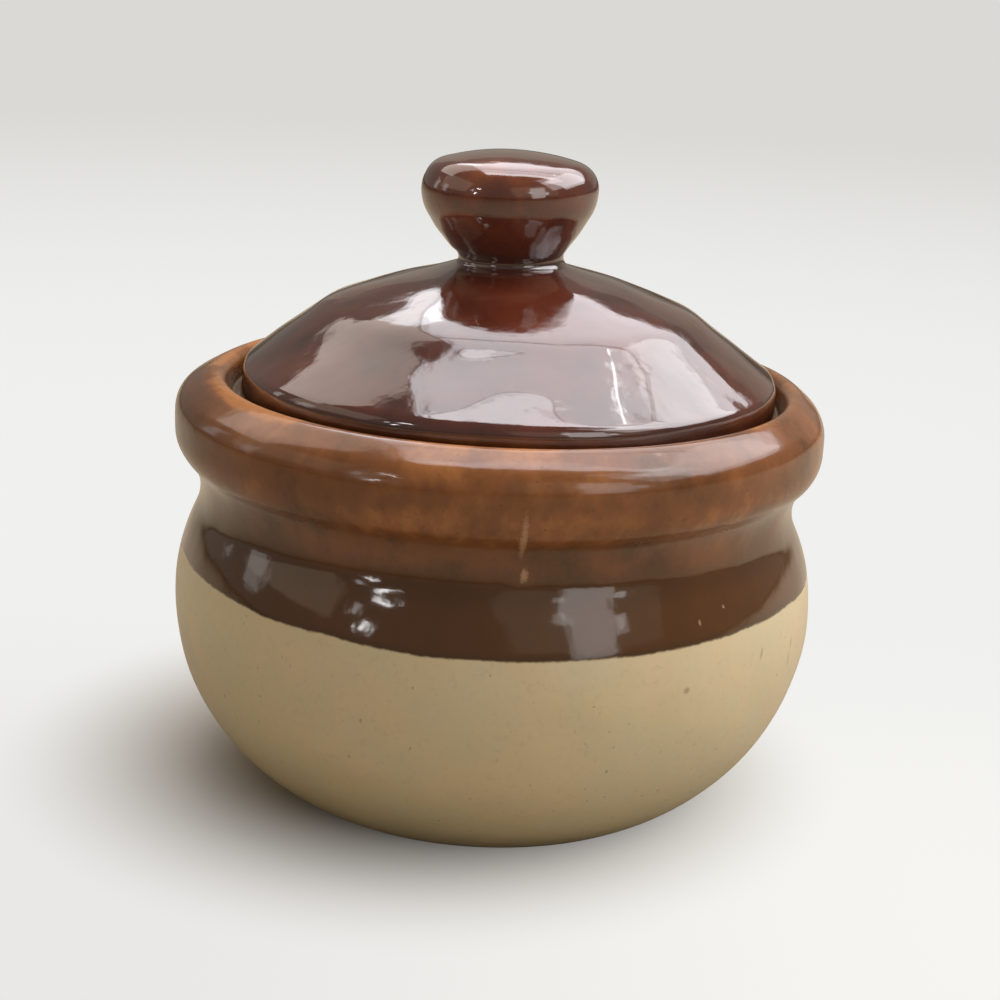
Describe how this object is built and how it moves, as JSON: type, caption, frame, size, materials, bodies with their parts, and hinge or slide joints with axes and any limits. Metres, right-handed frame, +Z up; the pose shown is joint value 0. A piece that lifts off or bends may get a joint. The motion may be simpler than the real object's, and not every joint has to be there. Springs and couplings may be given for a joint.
{
  "type": "soup crock",
  "caption": "Squat round stoneware soup crock with a rolled rim, a band of brown glaze over buff, and a lift-off domed lid with a mushroom knob.",
  "frame": {"origin": "centre of the foot ring, on the surface that the crock stands on", "axes": "+Z up, along the axis that the crock and its lid are turned about"},
  "size_m": [0.124, 0.124, 0.1235],
  "materials": {
    "crock_glaze": "glossy brown glaze on the rim and shoulder, satin buff glaze below",
    "lid_glaze": "glossy dark chestnut glaze"
  },
  "bodies": {
    "root": {"crock": "crock_glaze", "lid": "lid_glaze"}
  },
  "joints": []
}
